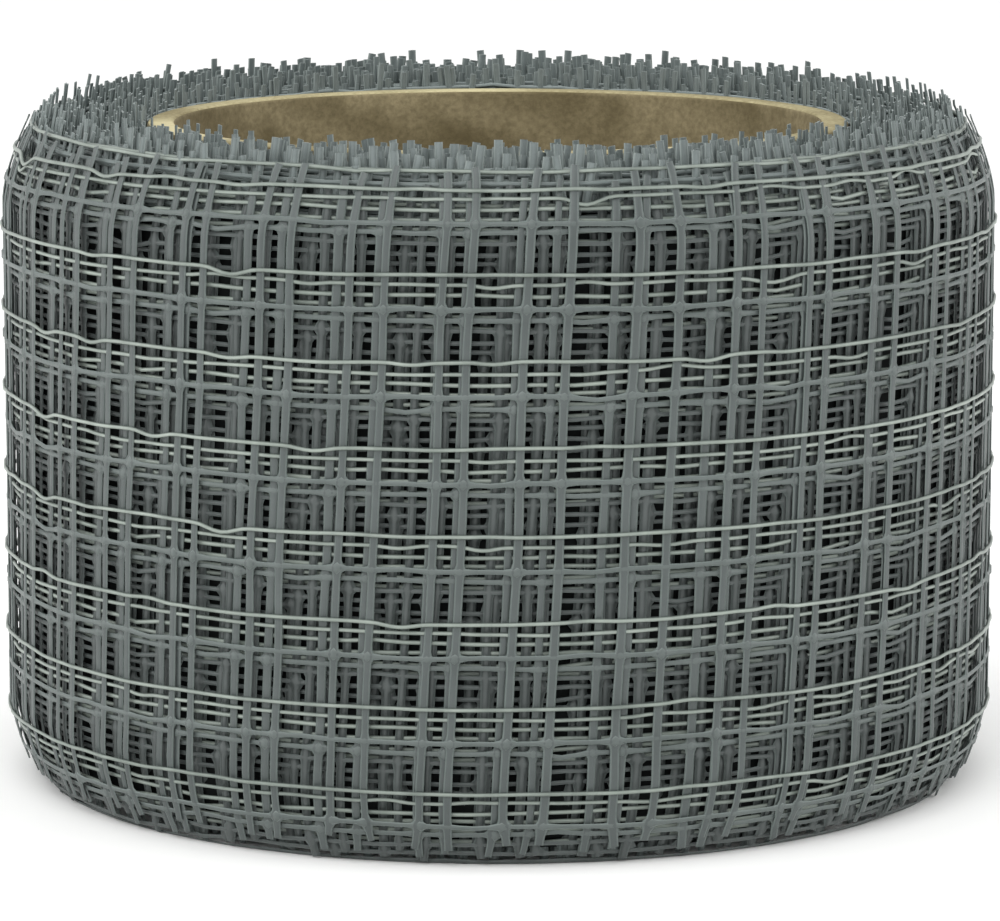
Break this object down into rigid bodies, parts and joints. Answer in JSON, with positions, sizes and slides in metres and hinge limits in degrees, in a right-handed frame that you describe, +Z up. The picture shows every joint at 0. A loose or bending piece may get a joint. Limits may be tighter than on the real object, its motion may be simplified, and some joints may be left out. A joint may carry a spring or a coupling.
{
  "type": "roll of fiberglass joint tape",
  "caption": "Roll of open-mesh glass fibre joint tape wound on a plain paper core, standing on its end.",
  "frame": {"origin": "centre of the roll's lower end face, on the floor it stands on", "axes": "+Z up along the roll's axis; X and Y are free because the roll is round"},
  "size_m": [0.0762, 0.0762, 0.0508],
  "materials": {
    "core_paper": "plain grey-brown paper tube, matt, lighter on its cut rim",
    "glass_mesh": "coated glass yarns, satin, grey-green"
  },
  "bodies": {
    "root": {"cardboard_core": "core_paper", "mesh_tape_roll": "glass_mesh"}
  },
  "joints": []
}
